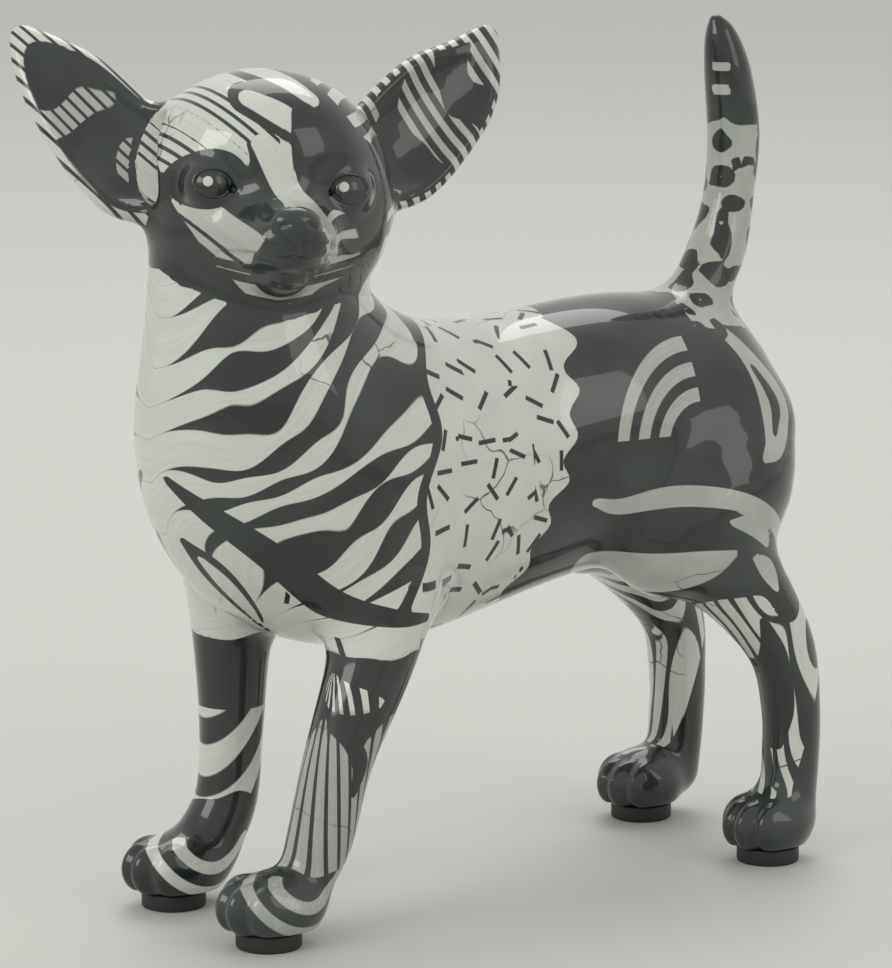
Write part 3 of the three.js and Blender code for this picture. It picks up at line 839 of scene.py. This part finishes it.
def print_ears():
    """Dark hollows with pale brush marks, pale rims and striped edges."""
    skull = SKULL.distance(points)
    for side in (LEFT, RIGHT):
        ear = Sculpture()
        in_hollow = add_ear(ear, side).distance(points)
        off_ear = ear.distance(points) - 0.5
        on_ear = np.maximum(off_ear, 0.7 - skull) < 0
        art.cover = np.where(on_ear, -Print.FAR, art.cover)
        art.tone = np.where(on_ear, Print.FAR, art.tone)
        lengthwise = np.abs(leftward) - 12
        if side == LEFT:
            art.stripes(on_ear, lengthwise / 2 + 0.35 * upward, 0.5)
        else:
            art.stripes(on_ear, (upward - lengthwise) / 1.6, 0.32)
        art.black(within(in_hollow - 0.45, -0.45 - 1.2 * wobble - drift, off_ear, 0.7 - skull))
        art.black(within(root_line(skull, 0.9, 0.55), off_ear - 0.3))
        art.black(within(root_line(off_ear, 0.2, 0.45), 0.7 - skull))
        art.grey += np.where(on_ear, 0.6 * rise(-in_hollow, -0.6, 0.2), 0)


def paint_eye_highlights():
    """A painted highlight: a round white glint on each eyeball, on its side toward the camera."""
    toward_camera = unit((math.sin(AZIMUTH), -math.cos(AZIMUTH), 0.25))
    for eye in EYES.values():
        # The painted highlight sits where the eyeball faces the camera
        glint = eye + toward_camera * EYEBALL_RADIUS
        art.white(Ball(glint, 0.55).distance(points))


print_neck()
print_ribs()
print_rump()
print_tail()
print_hindlegs()
print_forelegs()
print_head()
print_ears()
paint_eye_highlights()

mesh = bpy.data.meshes.new("dog_printed")
mesh.from_pydata(to_metres(points).tolist(), [], faces)
mesh.polygons.foreach_set("use_smooth", np.ones(len(faces), bool))
mesh.update()
mesh.normals_split_custom_set_from_vertices(normals.tolist())
for name, fields in (
    ("print_bands", (art.phase, art.duty, art.tone)),
    ("print_cover", (art.cover, art.grey, art.dash)),
    ("print_sheet", (y, round_ribs, z)),
):
    layer = mesh.attributes.new(name, "FLOAT_VECTOR", "POINT")
    layer.data.foreach_set("vector", np.stack(fields, -1).astype(np.float32).ravel())
figure = bpy.data.objects.new("dog_printed", mesh)
bpy.context.collection.objects.link(figure)
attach(figure, "root")
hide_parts("dog_figure")

# Materials


def plain_material(name, colour, roughness, coat=0.0):
    material = bpy.data.materials.new(name)
    material.use_nodes = True
    shader = material.node_tree.nodes["Principled BSDF"]
    shader.inputs["Base Color"].default_value = (*colour, 1)
    shader.inputs["Roughness"].default_value = roughness
    shader.inputs["Coat Weight"].default_value = coat
    return material


class Term:
    """A number or a vector in a material's node tree, with the arithmetic that makes nodes."""

    def __init__(self, tree, value):
        self.tree, self.value = tree, value

    def math(self, operation, *others, clamp=False):
        made = self.tree.nodes.new("ShaderNodeMath")
        made.operation = operation
        made.use_clamp = clamp
        for socket, given in zip(made.inputs, (self, *others)):
            plug(self.tree, socket, given)
        return Term(self.tree, made.outputs[0])

    def __add__(self, other):
        return self.math("ADD", other)

    def __sub__(self, other):
        return self.math("SUBTRACT", other)

    def __mul__(self, other):
        return self.math("MULTIPLY", other)


def plug(tree, socket, given):
    """Sets a socket to a constant, or links it to a term."""
    if isinstance(given, Term):
        given = given.value
    if isinstance(given, bpy.types.NodeSocket):
        tree.links.new(given, socket)
    else:
        socket.default_value = given


def node(tree, kind, output=0, settings=None, **inputs):
    made = tree.nodes.new(kind)
    for name, value in (settings or {}).items():
        setattr(made, name, value)
    for name, given in inputs.items():
        plug(tree, made.inputs[name.replace("_", " ")], given)
    return Term(tree, made.outputs[output])


def split(tree, vector):
    parts = node(tree, "ShaderNodeSeparateXYZ", Vector=vector).value.node
    return [Term(tree, socket) for socket in parts.outputs]


def field(tree, name):
    return split(tree, node(tree, "ShaderNodeAttribute", "Vector", {"attribute_name": name}))


def edge(term, width):
    """0 below -width, 1 above width."""
    return (term * (0.5 / width) + 0.5).math("ADD", 0.0, clamp=True)


def blend(tree, factor, first, second):
    mixed = tree.nodes.new("ShaderNodeMix")
    mixed.data_type = "RGBA"
    plug(tree, mixed.inputs[0], factor)
    for socket, colour in zip((mixed.inputs[6], mixed.inputs[7]), (first, second)):
        plug(tree, socket, (*colour, 1) if isinstance(colour, tuple) else colour)
    return Term(tree, mixed.outputs[2])


WHITE, GREY = (0.62, 0.64, 0.585), (0.24, 0.25, 0.23)
BLACK, SMOKE = (0.0105, 0.0145, 0.0135), (0.03, 0.038, 0.035)
CRACK = (0.09, 0.09, 0.08)

# Each dash has a cell of its own; its half length and half width are shares of the cell
DASH_CELL = 3.4
DASH_HALF_LENGTH, DASH_HALF_WIDTH = 0.34, 0.075


def printed_material():
    material = plain_material("printed_gloss", WHITE, 0.35, 1.0)
    tree = material.node_tree
    phase, duty, tone = field(tree, "print_bands")
    cover, grey, dash = field(tree, "print_cover")
    along, around, height = field(tree, "print_sheet")

    stripe = (phase.math("FRACT") - 0.5).math("ABSOLUTE") - duty * 0.5

    # Dashes: one in each cell, turned at random
    per_cell = 1 / DASH_CELL
    sheet = node(tree, "ShaderNodeCombineXYZ", X=along * per_cell, Y=around * per_cell)
    flat = {"voronoi_dimensions": "2D", "feature": "F1"}
    loose = {"Scale": 1.0, "Randomness": 0.62}
    middle = node(tree, "ShaderNodeTexVoronoi", "Position", flat, Vector=sheet, **loose)
    solid = {"noise_dimensions": "3D"}
    turn = node(tree, "ShaderNodeTexWhiteNoise", "Value", solid, Vector=middle) * math.pi
    here, there = split(tree, sheet), split(tree, middle)
    across, up = here[0] - there[0], here[1] - there[1]
    cosine, sine = turn.math("COSINE"), turn.math("SINE")
    lengthwise = (across * cosine + up * sine).math("ABSOLUTE") - DASH_HALF_LENGTH
    sideways = (up * cosine - across * sine).math("ABSOLUTE") - DASH_HALF_WIDTH
    dashes = lengthwise.math("MAXIMUM", sideways).math("MAXIMUM", dash * -1.0)

    below = edge(stripe, 0.016) * edge(dashes, 0.012)
    covered = edge(cover - 0.08, 0.03)
    bright = below + covered * (edge(tone, 0.05) - below)

    # Fine cracks in the white, and brush streaks that follow the bands
    place = node(tree, "ShaderNodeTexCoord", "Object")
    warp = node(tree, "ShaderNodeTexNoise", "Color", Vector=place, Scale=60.0, Detail=3.0)
    bent = node(tree, "ShaderNodeVectorMath", settings={"operation": "MULTIPLY_ADD"})
    bent_node = bent.value.node
    plug(tree, bent_node.inputs[0], warp)
    bent_node.inputs[1].default_value = (0.012,) * 3
    plug(tree, bent_node.inputs[2], place)
    cracks = {"feature": "DISTANCE_TO_EDGE"}
    gap = node(tree, "ShaderNodeTexVoronoi", "Distance", cracks, Vector=bent, Scale=52.0)
    where = node(tree, "ShaderNodeTexNoise", "Fac", Vector=place, Scale=24.0, Detail=1.0)
    cracked = edge(gap - 0.007, 0.004).math("MAXIMUM", edge((where - 0.62) * -1.0, 0.02))
    strand = node(tree, "ShaderNodeCombineXYZ", X=phase * 7.0, Y=along * 0.12, Z=height * 0.12)
    streak = node(tree, "ShaderNodeTexNoise", "Fac", Vector=strand, Scale=1.6, Detail=3.0)
    streaks = edge(streak - 0.56, 0.2) * 0.2
    shade = grey.math("ADD", streaks, clamp=True)
    pale = blend(tree, shade, WHITE, GREY)
    pale = blend(tree, cracked, CRACK, pale)
    mottle = node(tree, "ShaderNodeTexNoise", "Fac", Vector=place, Scale=38.0, Detail=4.0)
    dark = blend(tree, edge(mottle - 0.56, 0.12), BLACK, SMOKE)
    colour = blend(tree, bright, dark, pale)
    shader = tree.nodes["Principled BSDF"]
    plug(tree, shader.inputs["Base Color"], colour)
    shader.inputs["Coat Roughness"].default_value = 0.04
    shader.inputs["Specular IOR Level"].default_value = 0.25
    return material


mesh.materials.append(printed_material())
rubber = plain_material("pad_rubber", (0.016, 0.016, 0.016), 0.55)


def rounded_pad(name, bevel=0.0006, around=64, steps=5):
    """A rubber pad as in the CAD, rounder and with softened edges."""
    low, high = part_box(name)
    middle, radius = (low + high) / 2, (high.x - low.x) / 2
    turns = [math.pi / 2 * n / steps for n in range(steps + 1)]
    flat = radius - bevel
    foot = [(flat + bevel * math.sin(t), low.z + bevel - bevel * math.cos(t)) for t in turns]
    top = [(flat + bevel * math.cos(t), high.z - bevel + bevel * math.sin(t)) for t in turns]
    profile = foot + top
    corners = [
        (middle.x + r * math.cos(a), middle.y + r * math.sin(a), height)
        for r, height in profile
        for a in (2 * math.pi * n / around for n in range(around))
    ]
    rings = [[k * around + n for n in range(around)] for k in range(len(profile))]
    sides = [
        [lower[n - 1], lower[n], upper[n], upper[n - 1]]
        for lower, upper in zip(rings, rings[1:])
        for n in range(around)
    ]
    caps = [rings[0][::-1], rings[-1]]
    disc = bpy.data.meshes.new(f"{name}_rounded")
    disc.from_pydata(corners, [], sides + caps)
    disc.polygons.foreach_set("use_smooth", [True] * len(sides) + [False] * len(caps))
    disc.materials.append(rubber)
    pad = bpy.data.objects.new(f"{name}_rounded", disc)
    bpy.context.collection.objects.link(pad)
    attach(pad, "root")
    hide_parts(name)


for pad in PADS:
    rounded_pad(pad)

# Floor, lights and camera
bpy.ops.mesh.primitive_plane_add(size=60, location=(0, 0, 0))
floor = bpy.context.object
floor.name = "floor"
floor.data.materials.append(plain_material("floor", (0.62, 0.62, 0.59), 0.6))

world = bpy.data.worlds.new("studio")
world.use_nodes = True
world.node_tree.nodes["Background"].inputs["Color"].default_value = (0.9, 0.91, 0.88, 1)
world.node_tree.nodes["Background"].inputs["Strength"].default_value = 0.78
bpy.context.scene.world = world


def area_light(name, place, target, size, power):
    data = bpy.data.lights.new(name, "AREA")
    data.shape = "RECTANGLE"
    data.size, data.size_y = size
    data.energy = power
    data.color = (0.97, 1, 0.95)
    light = bpy.data.objects.new(name, data)
    light.location = place
    light.rotation_euler = (Vector(target) - Vector(place)).to_track_quat("-Z", "Y").to_euler()
    bpy.context.collection.objects.link(light)


area_light("key", place=(0.1, -1.2, 0.7), target=(0, 0, 0.1), size=(0.7, 0.5), power=4)
area_light("fill", place=(1.2, 0.4, 0.7), target=(0, 0, 0.1), size=(0.6, 0.8), power=2)
area_light("above", place=(-0.65, 0.5, 1.4), target=(-0.65, 0.5, 0), size=(0.9, 0.9), power=6.5)

CAMERA_DISTANCE = 1.05
LENS = 161.8
SENSOR_HEIGHT = 36.0
AIM_ASIDE, AIM_HEIGHT = -2.9, 44.8
aside = np.array([math.cos(AZIMUTH), math.sin(AZIMUTH), 0])
back = np.array(
    [
        math.sin(AZIMUTH) * math.cos(ELEVATION),
        -math.cos(AZIMUTH) * math.cos(ELEVATION),
        math.sin(ELEVATION),
    ]
)
aim = to_metres(aside * AIM_ASIDE + np.array([0, 0, AIM_HEIGHT]))
camera_data = bpy.data.cameras.new("camera")
camera_data.sensor_fit = "VERTICAL"
camera_data.sensor_height = SENSOR_HEIGHT
camera_data.lens = LENS
camera = bpy.data.objects.new("camera", camera_data)
camera.location = Vector(aim + back * CAMERA_DISTANCE)
camera.rotation_euler = Vector(-back).to_track_quat("-Z", "Y").to_euler()
bpy.context.collection.objects.link(camera)
bpy.context.scene.camera = camera
bpy.context.scene.view_settings.view_transform = "Standard"
